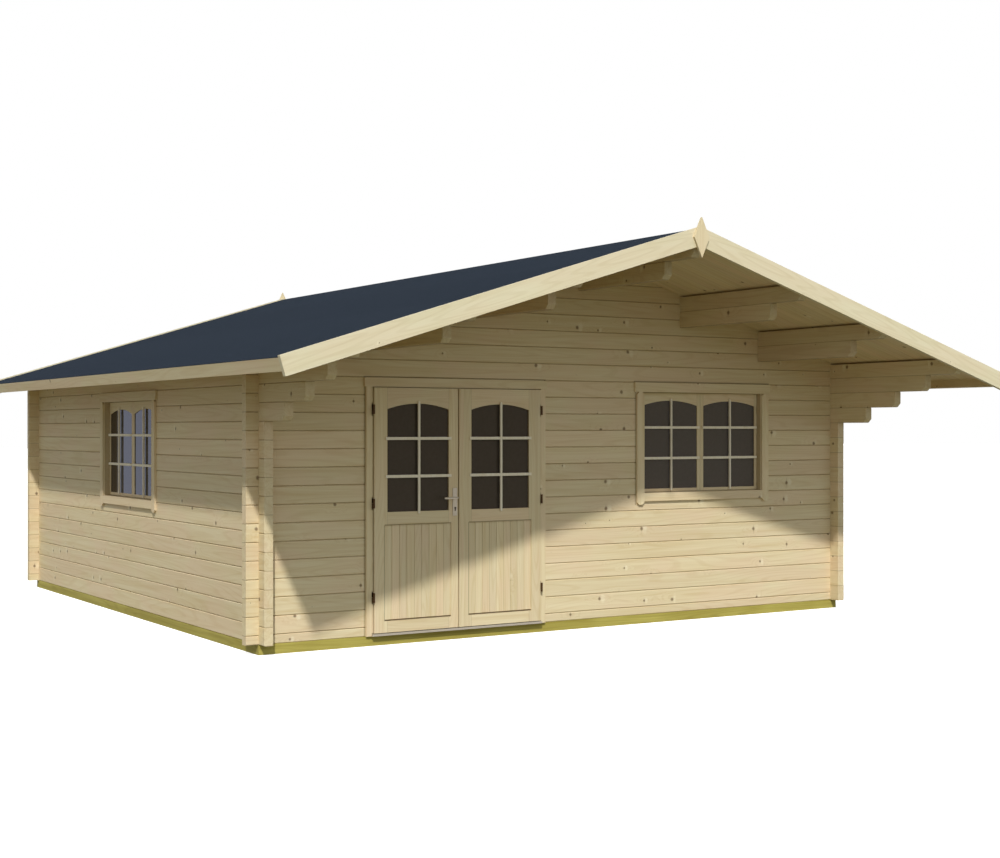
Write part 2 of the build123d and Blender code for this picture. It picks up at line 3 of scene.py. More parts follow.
import bmesh
import bpy
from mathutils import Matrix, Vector


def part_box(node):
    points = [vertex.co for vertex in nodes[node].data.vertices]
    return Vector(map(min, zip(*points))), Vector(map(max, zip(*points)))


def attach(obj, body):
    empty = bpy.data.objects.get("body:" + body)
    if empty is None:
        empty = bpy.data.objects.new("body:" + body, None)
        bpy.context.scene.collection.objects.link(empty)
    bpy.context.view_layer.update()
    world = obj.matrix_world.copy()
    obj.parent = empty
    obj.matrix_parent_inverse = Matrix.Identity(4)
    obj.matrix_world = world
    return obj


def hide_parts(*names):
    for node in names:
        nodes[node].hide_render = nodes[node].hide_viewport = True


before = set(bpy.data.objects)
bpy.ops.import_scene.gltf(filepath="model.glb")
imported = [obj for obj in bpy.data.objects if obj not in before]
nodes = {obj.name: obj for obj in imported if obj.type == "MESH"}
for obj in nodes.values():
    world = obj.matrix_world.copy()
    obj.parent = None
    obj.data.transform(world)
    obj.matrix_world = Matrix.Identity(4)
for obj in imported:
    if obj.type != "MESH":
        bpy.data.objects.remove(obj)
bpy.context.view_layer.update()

# Camera, at the photograph's viewing angle
camera_place = (-7.3936, -12.7385, 1.6518)
camera_tilt_deg = 90.0
camera_turn_deg = -32.106
camera_lens = 55.816
camera_sensor = 36.0
camera_reach = 500.0

# Sun, soft light from each side, what the glass reflects, and the floor
sun_travel = (0.360, 0.606, -0.7335)
sun_strength = 2.98
sun_spread_deg = 1.9
sky_light = (0.345, 0.362, 0.364, 1.0)
front_light = (0.69, 0.74, 0.80, 1.0)
ground_light = (0.198, 0.192, 0.126, 1.0)
back_sky_gloss = (0.69, 0.75, 0.98, 1.0)
front_gloss = (0.46, 0.39, 0.29, 1.0)
white = (1.0, 1.0, 1.0, 1.0)
front_to_back_span = (-0.9, 0.3)
ground_to_sky_span = (-0.15, 0.1)
gloss_span = (-0.3, 0.5)
floor_size = 240.0
floor_roughness = 0.9
floor_glow = 0.8

# Logs, boards, felt and door panels, as the model has them
log_height = 0.136
side_log_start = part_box("left_wall_even_courses")[0].z
gable_log_start = side_log_start + log_height / 2
wall_band = 1.0
roof_pitch_deg = 17.1
roof_slope = math.tan(math.radians(roof_pitch_deg))
soffit_board_width = 0.096
floor_board_width = 0.096
felt_sheet_width = 0.97
panel_board_count = 9
panel_tongue = 0.009
pane_rebate = 0.007
casement_gap = 0.003

# Dark lines at board joints, and painted shade under felt laps, in inside corners, beside the trims and
# round the door panels: their widths and how much they darken
joint_line = 0.004
joint_core_share = 0.3
joint_share = 0.5
soffit_joint_share = 0.22
felt_lap_line = 0.007
felt_lap_core_share = 0.6
panel_foot_shade_height = 0.010
panel_foot_shade_share = 0.6
panel_shade_width = 0.006
panel_side_shade = 0.45
panel_top_shade = 0.6
trim_shade_width = 0.013
trim_shade_share = 0.42
line_edge = 0.001
rail_edge = 0.0005
seam_span = (0.0004, 0.0016)
seam_share = 0.45
crevice_reach = 0.02
crevice_samples = 6
crevice_span = (0.3, 0.9)
joinery_crevice_shade_share = 0.2
leaf_crevice_shade_share = 0.1
panel_crevice_shade_share = 0.12

# Glazing bars, and the steps of an eased edge
bar_lap = 0.018
bar_edge = 0.002
level_bar_drop = bar_edge / 2
edge_segments = 2
door_bars = dict(width=0.018, height=0.0225, thickness=0.014, height_shares=(0.330, 0.6735))
window_bars = dict(width=0.015, height=0.022, thickness=0.018, height_shares=(0.3487, 0.691))
door_bar_shift = 0.001
front_bar_shift = 0.001
left_bar_shift = 0.027

# Strips on the door's jambs, in the gap beside each leaf
gap_strip_clearance = 0.006
gap_strip_depth = 0.010
gap_strip_edge = 0.001
hinge_clearance = 0.012
hinge_spacing = 0.2

# Handle plates, lever and lock
plate_corner = 0.005
plate_edge = 0.0025
lever_radius = 0.008
lever_bend = 0.014
round_steps = 24
bend_steps = 8
lock_radius = 0.0085
lock_drop = 0.080
lock_proud = 0.0015
lock_foot_width = 0.010
lock_foot_drop = 0.0195
key_slot_width = 0.0024
key_slot_height = 0.0075
key_slot_proud = lock_proud / 2
key_slot_edge = lock_proud / 8


def colour(red, green, blue):
    """A linear colour from the usual 0 to 255 values."""
    def linear(value):
        share = value / 255
        return share / 12.92 if share <= 0.04045 else ((share + 0.055) / 1.055) ** 2.4
    return (linear(red), linear(green), linear(blue), 1.0)


# Tones of spruce, with its knots, flames, blotches and joints, and of treated wood
pale_spruce = colour(229, 214, 177)
warm_spruce = colour(216, 195, 150)
knot_brown = colour(100, 75, 49)
flame_pale = colour(243, 232, 202)
blotch_pink = colour(227, 200, 167)
joint_brown = colour(126, 100, 60)
# Painted shade, for inside corners and for the lines beside the trims and round the door panels
painted_shade_brown = colour(84, 64, 38)
treated_pale = colour(193, 181, 94)
treated_dark = colour(159, 144, 63)
treated_tones = dict(
    pale=treated_pale, dark=treated_dark, blotch_tone=treated_dark, flame_tone=treated_pale
)


def tones(pale, dark, blotch):
    """Three tones of a wood that differs a little from the logs."""
    return dict(pale=colour(*pale), dark=colour(*dark), blotch_tone=colour(*blotch))


# The purlins' tones are the logs' tones darkened: painted shade for the purlins under the roof
purlin_shade_tones = tones((216, 201, 164), (203, 182, 138), (213, 187, 155))
trim_tones = tones((224, 215, 184), (210, 197, 158), (222, 205, 174))
bar_tones = tones((246, 237, 216), (238, 226, 200), (240, 228, 206))

# Tones of the felt and the floor
felt_dark = colour(23, 31, 39)
felt_pale = colour(47, 56, 66)
felt_cloud = colour(29, 37, 46)
felt_faded = colour(54, 63, 73)
# Painted shade under the edge of each felt lap
felt_lap_shade_tone = colour(12, 17, 23)
floor_grey = colour(225, 225, 225)

# Grain: each noise has a scale along and across the grain, a detail and a roughness
fibre_grain = (2.5, 150.0, 4.0, 0.6)
streak_grain = (0.9, 26.0, 3.0, 0.55)
ring_grain = (0.45, 6.0, 1.0, 0.4)
blotch_grain = (1.6, 3.0, 2.0, 0.5)
fibre_share = 0.35
streak_share = 0.65
shade_span = (0.30, 0.72, 0.06, 0.9)
blotch_span = (0.42, 0.64, 0.0, 0.44)
ring_span = (0.2, 1.0, 0.0, 0.14)
ring_swirl = 0.12
ring_waves = 95.0
log_shift_along = 40.0
log_shift_across = 7.0
log_light_least = 0.95
log_light_spread = 0.09
end_span = (0.8, 0.95)
fibre_relief = 0.5
ring_relief = 0.12
joint_relief = 2.0
wood_bump = (0.35, 0.0012)
joinery_bump = (0.25, 0.001)
wood_roughness = 0.72
joinery_roughness = 0.7
wood_gloss = 0.3

# Knots: the spacing in each wood, and each oval's width, height, shift and reaches in knot radii
log_knot_spacing = 0.25
trim_knot_spacing = 0.34
treated_knot_spacing = 0.4
joinery_knot_spacing = 0.6
panel_knot_spacing = 0.8
bar_knot_spacing = 2.0
clear_knot_spacing = 4.0
knot_radius_span = (0.4, 1.0, 0.0001, 0.019)
knot_wobble = (28.0, 2.0)
knot_wobble_least = 0.5
knot_core = (1.0, 1.0, 0.0, 0.35, 1.15)
knot_swirl = (2.4, 1.0, 0.0, 0.6, 4.2)
knot_spike = (0.3, 2.4, 0.0, 0.4, 1.3)
knot_flame = (1.5, 2.6, 2.0, 0.3, 1.2)
spike_chance_span = (0.45, 0.6)
flame_chance_span = (0.3, 0.7)
knot_share = 0.75
spike_share = 0.25
flame_share = 0.5

# Felt, metal and glass: each noise has a scale, a detail and a roughness
felt_grit = (260.0, 2.0, 0.7)
felt_grit_span = (0.35, 0.68)
felt_clouds = (1.6, 3.0, 0.6)
felt_cloud_share = 0.35
felt_faded_share = 0.22
felt_lap_share = 0.7
felt_lap_relief = 2.0
felt_bump = (0.5, 0.002)
felt_roughness = 0.95
felt_gloss = 0.05
brushed_noise = (1.0, 3.0, 0.6)
brushed_span = (0.3, 0.7)
brushed_bump = (0.12, 0.0004)
roughness_spread = 0.08
glass_ripple = (3.0, 1.0)
glass_bump = (0.03, 0.004)
glass_dust = (40.0, 4.0)
glass_dust_span = (0.3, 0.8, 0.02, 0.07)
glass_clear_share = 0.35
glass_ior = 1.35


class Nodes:
    """Builds a node tree. Each method adds a node and returns the output that carries its result."""

    def __init__(self, tree):
        self.tree = tree

    def node(self, kind, inputs, output=0, **settings):
        node = self.tree.nodes.new(kind)
        for key, value in settings.items():
            setattr(node, key, value)
        for key, value in inputs.items():
            self.feed(node.inputs[key], value)
        return node.outputs[output] if output is not None else node

    def feed(self, socket, value):
        if isinstance(value, bpy.types.NodeSocket):
            self.tree.links.new(value, socket)
        else:
            socket.default_value = value

    def math(self, operation, first, second=0.0):
        return self.node("ShaderNodeMath", {0: first, 1: second}, operation=operation)

    def add(self, first, second):
        return self.math("ADD", first, second)

    def minus(self, first, second):
        return self.math("SUBTRACT", first, second)

    def times(self, first, second):
        return self.math("MULTIPLY", first, second)

    def vector(self, x, y, z):
        return self.node("ShaderNodeCombineXYZ", {0: x, 1: y, 2: z})

    def split(self, vector):
        return self.node("ShaderNodeSeparateXYZ", {0: vector}, None).outputs

    def point(self):
        """The point on the object, in the row frame."""
        return self.node("ShaderNodeTexCoord", {}, "Object")

    def place(self):
        """The point's three coordinates."""
        return self.split(self.point())

    def facing(self):
        """The surface's direction on the object."""
        return self.split(self.node("ShaderNodeTexCoord", {}, "Normal"))

    def chance(self, x, y, z):
        """Three random values that belong to a place."""
        return self.split(self.node("ShaderNodeTexWhiteNoise", {"Vector": self.vector(x, y, z)}, "Color"))

    def noise(self, vector, scale, detail=3.0, roughness=0.55):
        inputs = {"Vector": vector, "Scale": scale, "Detail": detail, "Roughness": roughness}
        return self.node("ShaderNodeTexNoise", inputs)

    def between(self, value, low, high, start=0.0, end=1.0):
        """A smooth step from start to end as the value goes from low to high."""
        inputs = {"Value": value, 1: low, 2: high, 3: start, 4: end}
        return self.node("ShaderNodeMapRange", inputs, interpolation_type="SMOOTHSTEP")

    def mix(self, share, first, second, blend="MIX"):
        inputs = {0: share, 6: first, 7: second}
        return self.node("ShaderNodeMix", inputs, 2, data_type="RGBA", blend_type=blend)

    def bump(self, height, strength, distance):
        inputs = {"Strength": strength, "Distance": distance, "Height": height}
        return self.node("ShaderNodeBump", inputs)


class Shader(Nodes):
    """Builds one material round its surface shader."""

    def __init__(self, name):
        self.material = bpy.data.materials.new(name)
        self.material.use_nodes = True
        super().__init__(self.material.node_tree)
        self.surface = self.tree.nodes["Principled BSDF"]

    def finish(self, **inputs):
        for key, value in inputs.items():
            self.feed(self.surface.inputs[key.replace("_", " ")], value)
        return self.material


def grain_axes(shader, grain):
    """The place along the grain, across the board and into it, for a grain direction."""
    x, y, z = shader.place()
    if grain == "x":
        return x, z, y
    if grain == "y":
        return y, z, x
    if grain == "z":
        return z, x, y
    run = shader.math("ABSOLUTE", x)
    level = shader.add(z, shader.times(run, roof_slope))
    if grain == "slope":
        return run, y, level
    return run, level, y


def end_share(shader, grain):
    """1 where the surface faces along the grain."""
    axis = {"x": 0, "y": 1, "z": 2, "slope": 0, "verge": 0}[grain]
    return shader.between(shader.math("ABSOLUTE", shader.facing()[axis]), *end_span)


def knots(shader, along, across, spacing, seed):
    """Shares of a point that are knot, swirl round it, spike across the grain and pale flame beside it."""
    place = shader.vector(along, across, seed)
    inputs = {"Vector": place, "Scale": 1 / spacing, "Randomness": 1.0}
    cells = shader.node("ShaderNodeTexVoronoi", inputs, None, voronoi_dimensions="2D")
    chance = shader.split(cells.outputs["Color"])
    centre = shader.split(cells.outputs["Position"])
    radius = shader.between(chance[0], *knot_radius_span)
    wobble = shader.add(shader.noise(place, *knot_wobble), knot_wobble_least)
    offset = shader.minus(along, centre[0])
    rise = shader.minus(across, centre[1])

    def oval(width, height, shift, inner, outer):
        """1 well inside an oval, falling to 0 from its inner to its outer reach."""
        run = shader.times(shader.minus(offset, shader.times(radius, shift)), 1 / width)
        lift = shader.times(rise, 1 / height)
        squares = shader.add(shader.times(run, run), shader.times(lift, lift))
        reach = shader.math("DIVIDE", shader.times(shader.math("SQRT", squares), wobble), radius)
        return shader.between(reach, inner, outer, 1.0, 0.0)

    spike = shader.times(oval(*knot_spike), shader.between(chance[2], *spike_chance_span))
    flame = shader.times(oval(*knot_flame), shader.between(chance[1], *flame_chance_span))
    return oval(*knot_core), oval(*knot_swirl), spike, flame


def grained_noise(shader, place, scale_along, scale_across, detail, roughness):
    """Noise drawn out along the grain."""
    along, across, deep = place
    scaled = shader.vector(
        shader.times(along, scale_along),
        shader.times(across, scale_across),
        shader.times(deep, scale_across),
    )
    return shader.noise(scaled, 1.0, detail, roughness)


def joint_lines(shader, tone, height, step, board, share):
    """A dark line and a groove at each joint between boards."""
    nearest_joint = shader.times(shader.math("PINGPONG", step, 0.5), board)
    gap = shader.between(nearest_joint, joint_line * joint_core_share, joint_line, 1.0, 0.0)
    tone = shader.mix(shader.times(gap, share), tone, joint_brown)
    return tone, shader.minus(height, shader.times(gap, joint_relief))


def wood_colour(
    shader, grain, board=None, start=0.0, knot_spacing=log_knot_spacing, line_share=joint_share, seed=0.0,
    pale=pale_spruce, dark=warm_spruce, blotch_tone=blotch_pink, flame_tone=flame_pale,
):
    """Colour and height of planed softwood: grain, growth rings, knots and joints between boards."""
    along, across, deep = grain_axes(shader, grain)
    step = shader.times(shader.minus(across, start), 1 / board) if board else 0.0
    band = shader.math("ROUND", shader.times(deep, 1 / wall_band))
    chance = shader.chance(shader.math("FLOOR", step), band, seed)
    along = shader.add(along, shader.times(chance[0], log_shift_along))
    across = shader.add(across, shader.times(chance[1], log_shift_across))

    side = shader.minus(1.0, end_share(shader, grain))
    knot_parts = knots(shader, along, across, knot_spacing, seed)
    knot, swirl, spike, flame = (shader.times(part, side) for part in knot_parts)
    kinds = (fibre_grain, streak_grain, blotch_grain, ring_grain)
    noises = [grained_noise(shader, (along, across, deep), *kind) for kind in kinds]
    fibre, streak, blotch, growth = noises
    ring_level = shader.add(growth, shader.times(swirl, ring_swirl))
    rings = shader.math("SINE", shader.times(ring_level, ring_waves))

    shade = shader.add(shader.times(fibre, fibre_share), shader.times(streak, streak_share))
    tone = shader.mix(shader.between(shade, *shade_span), pale, dark)
    tone = shader.mix(shader.between(blotch, *blotch_span), tone, blotch_tone)
    tone = shader.mix(shader.times(flame, flame_share), tone, flame_tone)
    tone = shader.mix(shader.between(rings, *ring_span), tone, dark, "MULTIPLY")
    light = shader.add(shader.times(chance[2], log_light_spread), log_light_least)
    tone = shader.mix(1.0, tone, shader.vector(light, light, light), "MULTIPLY")
    tone = shader.mix(shader.times(spike, spike_share), tone, knot_brown)
    tone = shader.mix(shader.times(knot, knot_share), tone, knot_brown)
    height = shader.add(shader.times(fibre, fibre_relief), shader.times(rings, ring_relief))

    if board and line_share:
        return joint_lines(shader, tone, height, step, board, line_share)
    return tone, height


def painted_crevice_shade(shader, tone, share):
    """Painted shade: joinery is darkened in its grooves and inside corners, wherever ambient occlusion finds
    it hemmed in.
    """
    inputs = {"Distance": crevice_reach}
    openness = shader.node("ShaderNodeAmbientOcclusion", inputs, "AO", samples=crevice_samples)
    return shader.mix(shader.between(openness, *crevice_span, share, 0.0), tone, painted_shade_brown)


def painted_shade_line(shader, tone, share, *spans):
    """Painted shade: darken the points that lie within a span on each of the named axes."""
    place = shader.place()
    for axis, low, high in spans:
        spot = place["xyz".index(axis)]
        rising = shader.between(spot, low - line_edge, low + line_edge)
        falling = shader.between(spot, high - line_edge, high + line_edge, 1.0, 0.0)
        share = shader.times(shader.times(rising, falling), share)
    return shader.mix(share, tone, painted_shade_brown)


def wood(name, grain, crevice_shade_share=0.0, painted_shade_lines=(), **look):
    """A finished softwood material."""
    shader = Shader(name)
    tone, height = wood_colour(shader, grain, **look)
    # Painted shade in inside corners and along the given lines
    if crevice_shade_share:
        tone = painted_crevice_shade(shader, tone, crevice_shade_share)
    for line in painted_shade_lines:
        tone = painted_shade_line(shader, tone, *line)
    normal = shader.bump(height, *wood_bump)
    return shader.finish(
        Base_Color=tone, Roughness=wood_roughness, Normal=normal, Specular_IOR_Level=wood_gloss
    )


def framed_wood(
    name, level, centres, half_opening, seed, crevice_shade_share=joinery_crevice_shade_share, painted_shade_lines=()
):
    """Softwood joinery: level grain between the uprights and upright grain on them."""
    shader = Shader(name)
    upright_tone, upright_height = wood_colour(shader, "z", knot_spacing=clear_knot_spacing, seed=seed)
    level_tone = wood_colour(shader, level, knot_spacing=clear_knot_spacing, seed=seed + 1)[0]
    place = shader.place()["xyz".index(level)]
    offsets = [shader.math("ABSOLUTE", shader.minus(place, centre)) for centre in centres]
    reach = offsets[0]
    for offset in offsets[1:]:
        reach = shader.math("MINIMUM", reach, offset)
    rail = shader.between(reach, half_opening - rail_edge, half_opening + rail_edge, 1.0, 0.0)
    tone = shader.mix(rail, upright_tone, level_tone)
    seam_reach = shader.math("ABSOLUTE", shader.minus(reach, half_opening))
    seam = shader.between(seam_reach, *seam_span, seam_share, 0.0)
    # Dark seams at the joints, then painted shade in grooves and inside corners
    tone = painted_crevice_shade(shader, shader.mix(seam, tone, joint_brown), crevice_shade_share)
    for line in painted_shade_lines:
        tone = painted_shade_line(shader, tone, *line)
    normal = shader.bump(upright_height, *joinery_bump)
    return shader.finish(
        Base_Color=tone, Roughness=joinery_roughness, Normal=normal, Specular_IOR_Level=wood_gloss
    )


def felt(name):
    """Roofing felt with a slate-coloured mineral face, laid in sheets that lap from the ridge down."""
    shader = Shader(name)
    x = shader.place()[0]
    grit = shader.noise(shader.point(), *felt_grit)
    cloud = shader.noise(shader.point(), *felt_clouds)
    sheet = shader.times(shader.math("ABSOLUTE", x), 1 / felt_sheet_width)
    chance = shader.chance(shader.math("FLOOR", sheet), shader.math("SIGN", x), 0.0)
    lap_place = shader.times(shader.math("FRACT", sheet), felt_sheet_width)
    lap = shader.between(lap_place, felt_lap_line * felt_lap_core_share, felt_lap_line, 1.0, 0.0)
    tone = shader.mix(shader.between(grit, *felt_grit_span), felt_dark, felt_pale)
    tone = shader.mix(shader.times(cloud, felt_cloud_share), tone, felt_cloud)
    tone = shader.mix(shader.times(chance[0], felt_faded_share), tone, felt_faded)
    # Painted shade: a dark line under the edge of each lap
    tone = shader.mix(shader.times(lap, felt_lap_share), tone, felt_lap_shade_tone)
    height = shader.minus(grit, shader.times(lap, felt_lap_relief))
    normal = shader.bump(height, *felt_bump)
    return shader.finish(
        Base_Color=tone, Roughness=felt_roughness, Normal=normal, Specular_IOR_Level=felt_gloss
    )


def metal(name, pale, dark, roughness, metallic, stretch):
    """Metal with a brushed or cast face, its noise stretched along each axis."""
    shader = Shader(name)
    stretched = [shader.times(spot, scale) for spot, scale in zip(shader.place(), stretch)]
    brushed = shader.noise(shader.vector(*stretched), *brushed_noise)
    tone = shader.mix(shader.between(brushed, *brushed_span), pale, dark)
    rough_range = (roughness - roughness_spread, roughness + roughness_spread)
    rough = shader.between(brushed, *brushed_span, *rough_range)
    normal = shader.bump(brushed, *brushed_bump)
    return shader.finish(Base_Color=tone, Roughness=rough, Metallic=metallic, Normal=normal)


def glass(name, pale, dark):
    """Window glass with a faint ripple and a little dust. Its dark brown base colour is painted shade,
    standing in for the dim room seen through it.
    """
    shader = Shader(name)
    normal = shader.bump(shader.noise(shader.point(), *glass_ripple), *glass_bump)
    dust = shader.noise(shader.point(), *glass_dust)
    tone = shader.mix(dust, dark, pale)
    rough = shader.between(dust, *glass_dust_span)
    return shader.finish(
        Base_Color=tone, Roughness=rough, Normal=normal, Transmission_Weight=glass_clear_share, IOR=glass_ior
    )


def dress(material, *names):
    """Give the named nodes a material."""
    for name in names:
        mesh = nodes[name].data
        mesh.materials.clear()
        mesh.materials.append(material)


def halves(node, axis):
    """The boxes of a node's two like pieces, which lie on either side of its middle."""
    low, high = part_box(node)
    middle = (low[axis] + high[axis]) / 2
    vertices = nodes[node].data.vertices
    boxes = []
    for side in (-1, 1):
        points = [vertex.co for vertex in vertices if (vertex.co[axis] - middle) * side > 0]
        lowest = Vector([min(point[i] for point in points) for i in range(3)])
        highest = Vector([max(point[i] for point in points) for i in range(3)])
        boxes.append((lowest, highest))
    return boxes


def new_piece(name, mesh, material, body):
    """A finished mesh as a piece that rides on a body."""
    piece_mesh = bpy.data.meshes.new(name)
    bmesh.ops.recalc_face_normals(mesh, faces=mesh.faces)
    mesh.to_mesh(piece_mesh)
    mesh.free()
    piece_mesh.materials.append(material)
    piece = bpy.data.objects.new(name, piece_mesh)
    bpy.context.scene.collection.objects.link(piece)
    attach(piece, body)
    return piece


def eased_box(mesh, low, high, easing):
    """A box with its edges eased, added to a mesh."""
    size = [high[i] - low[i] for i in range(3)]
    corners = bmesh.ops.create_cube(mesh, size=1.0)["verts"]
    for corner in corners:
        corner.co = Vector([low[i] + (corner.co[i] + 0.5) * size[i] for i in range(3)])
    edges = list({edge for corner in corners for edge in corner.link_edges})
    bmesh.ops.bevel(mesh, geom=edges, offset=easing, segments=edge_segments, affect="EDGES", profile=0.5)


class Pane:
    """An arched pane in its opening. Points are given across it, up it and out from the cabin's middle."""

    def __init__(self, box, axis):
        low, high = box
        self.axis = axis
        self.left = low[axis] + pane_rebate
        self.right = high[axis] - pane_rebate
        self.bottom = low[2] + pane_rebate
        self.crown = high[2] - pane_rebate
        self.base = low[2]
        self.height = high[2] - low[2]
        self.centre = (low[axis] + high[axis]) / 2
        self.half_opening = (high[axis] - low[axis]) / 2 - pane_rebate

    def bar(self, mesh, across, up, out):
        """A bar between two places across, up and out, added to a mesh."""
        low = [0.0, 0.0, up[0]]
        high = [0.0, 0.0, up[1]]
        low[self.axis], high[self.axis] = across
        low[1 - self.axis], high[1 - self.axis] = out
        eased_box(mesh, low, high, bar_edge)


def add_bars(mesh, pane, face, outward, shift, width, height, thickness, height_shares):
    """One upright bar and two level ones that lap over the frame's face."""
    centre = (pane.left + pane.right) / 2 + shift
    front = sorted((face, face + outward * thickness))
    level_front = sorted((face, face + outward * (thickness - level_bar_drop)))
    upright = (centre - width / 2, centre + width / 2)
    pane.bar(mesh, upright, (pane.bottom - bar_lap, pane.crown + bar_lap), front)
    for share in height_shares:
        level = pane.base + share * pane.height
        band = (level - height / 2, level + height / 2)
        pane.bar(mesh, (pane.left - bar_lap, pane.right + bar_lap), band, level_front)


def trim_shade_lines(side_trims, cross_trims):
    """Spans of painted shade on the front wall: in the corner beside a left trim and over a head trim."""
    side_low, side_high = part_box(side_trims)
    cross_low, cross_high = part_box(cross_trims)
    wall = ("y", side_low.y, side_high.y + trim_shade_width)
    beside = (("x", side_low.x - trim_shade_width, side_low.x), ("z", side_low.z, side_high.z), wall)
    over = (("x", cross_low.x, cross_high.x), ("z", cross_high.z, cross_high.z + trim_shade_width), wall)
    return (trim_shade_share, *beside), (trim_shade_share, *over)


# Logs and purlins
# Painted shade on the front wall's logs beside the left trims and over the head trims of the door and front
# window
front_shade_lines = trim_shade_lines("door_side_trims", "door_head_trim")
front_shade_lines += trim_shade_lines("front_window_side_trims", "front_window_cross_trims")
gable_look = dict(board=log_height, start=gable_log_start, seed=3.0)
side_look = dict(board=log_height, start=side_log_start, seed=5.0)
logs_across = wood("spruce_logs_across", "x", painted_shade_lines=front_shade_lines, **gable_look)
logs_along = wood("spruce_logs_along", "y", **side_look)
shaded_purlin_logs = wood("spruce_purlins_painted_shade", "y", **side_look, **purlin_shade_tones)
for side in ("front", "back"):
    dress(logs_across, f"{side}_wall_full_courses", f"{side}_wall_half_courses")
for side in ("left", "right"):
    dress(logs_along, f"{side}_wall_even_courses", f"{side}_wall_odd_courses")
dress(shaded_purlin_logs, "lower_purlins", "upper_purlins")

# Foundation, floor and roof
treated = dict(knot_spacing=treated_knot_spacing, **treated_tones)
soffit_look = dict(board=soffit_board_width, line_share=soffit_joint_share, seed=11.0)
verge_look = dict(knot_spacing=trim_knot_spacing, seed=13.0, **trim_tones)
dress(wood("treated_beams_across", "x", seed=7.0, **treated), "foundation_cross_beams")
dress(wood("treated_beams_along", "y", seed=8.0, **treated), "foundation_side_beams", "floor_joists")
dress(wood("floor_boards", "x", board=floor_board_width, seed=9.0), "floor_deck")
dress(wood("roof_boards", "slope", **soffit_look), "roof_deck")
dress(felt("roof_felt"), "roof_felt")
dress(wood("roof_trim", "verge", **verge_look), "bargeboards")
dress(wood("eave_trim", "y", knot_spacing=trim_knot_spacing, seed=15.0), "eave_fascias")

# Joinery, glazing bars, glass and metals
joinery = dict(crevice_shade_share=joinery_crevice_shade_share, knot_spacing=joinery_knot_spacing)
strip_look = dict(crevice_shade_share=leaf_crevice_shade_share, knot_spacing=clear_knot_spacing, seed=29.0)
uprights = wood("joinery_upright", "z", seed=17.0, **joinery)
levels_x = wood("joinery_level_x", "x", seed=19.0, **joinery)
levels_y = wood("joinery_level_y", "y", seed=21.0, **joinery)
dress(uprights, "gable_finials", "door_jambs", "door_side_trims")
dress(uprights, "front_window_side_trims", "left_window_side_trims")
dress(levels_x, "door_head", "door_head_trim", "front_window_cross_trims")
dress(levels_y, "left_window_cross_trims")
dress(wood("meeting_strip_wood", "z", **strip_look), "door_meeting_strip")
bar_wood = wood("bar_wood", "z", knot_spacing=bar_knot_spacing, seed=23.0, **bar_tones)
# The glass tones are painted shade: browns for the dim room seen through each pane, paler for the front
# window
door_pane = glass("door_glass", colour(90, 80, 70), colour(80, 70, 60))
front_pane = glass("window_glass", colour(111, 103, 97), colour(100, 93, 87))
dark_metal = metal(
    "hinge_metal", colour(96, 68, 38), colour(66, 46, 26),
    roughness=0.5, metallic=0.4, stretch=(400, 400, 400),
)
steel = metal(
    "handle_steel", colour(232, 230, 226), colour(206, 204, 200),
    roughness=0.36, metallic=0.7, stretch=(900, 900, 40),
)
threshold_metal = metal(
    "threshold_metal", colour(206, 197, 182), colour(180, 171, 157),
    roughness=0.45, metallic=0.25, stretch=(12, 600, 600),
)
lock_metal = metal(
    "lock_metal", colour(84, 82, 80), colour(62, 60, 58),
    roughness=0.45, metallic=0.5, stretch=(300, 300, 900),
)
dress(threshold_metal, "door_threshold")


def panel_face(side):
    """The left, right, bottom and top of a door panel's face, between its tongues."""
    low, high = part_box(f"{side}_door_panel")
    return low.x + panel_tongue, high.x - panel_tongue, low.z + panel_tongue, high.z - panel_tongue


def panel_material(side, seed):
    """A door panel's upright boards, with painted shade along their foot."""
    left, right, bottom = panel_face(side)[:3]
    foot_shade = (panel_foot_shade_share, ("z", bottom - panel_tongue, bottom + panel_foot_shade_height))
    board = (right - left) / panel_board_count
    look = dict(board=board, start=left, knot_spacing=panel_knot_spacing, line_share=0.0, seed=seed)
    return wood(f"{side}_panel_boards", "z", panel_crevice_shade_share, (foot_shade,), **look)


def leaf_material(side, pane, seed):
    """A door leaf's stiles and rails, with painted shadow lines beside and over the panel."""
    left, right, bottom, top = panel_face(side)
    beside = (panel_side_shade, ("x", left - panel_shade_width, left), ("z", bottom, top))
    over = (panel_top_shade, ("x", left, right), ("z", top, top + panel_shade_width))
    look = dict(crevice_shade_share=leaf_crevice_shade_share, painted_shade_lines=(beside, over))
    return framed_wood(f"{side}_leaf_wood", "x", [pane.centre], pane.half_opening, seed, **look)


def finish_leaf(side, seed):
    """A door leaf's materials and glazing bars."""
    leaf_low, leaf_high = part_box(f"{side}_door_leaf")
    pane = Pane(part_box(f"{side}_door_glass"), 0)
    dress(leaf_material(side, pane, seed), f"{side}_door_leaf")
    dress(panel_material(side, seed), f"{side}_door_panel")
    dress(door_pane, f"{side}_door_glass")
    dress(dark_metal, f"{side}_door_frame_hinges", f"{side}_door_leaf_hinges")
    bars = bmesh.new()
    for face, outward in ((leaf_low.y, -1), (leaf_high.y, 1)):
        add_bars(bars, pane, face, outward, door_bar_shift, **door_bars)
    new_piece(f"{side}_door_bars", bars, bar_wood, f"{side}_leaf")


def groups(values, spacing):
    """The lowest and highest value of each group that stands apart from the rest."""
    found = []
    for value in sorted(values):
        if not found or value - found[-1][1] > spacing:
            found.append([value, value])
        found[-1][1] = value
    return found


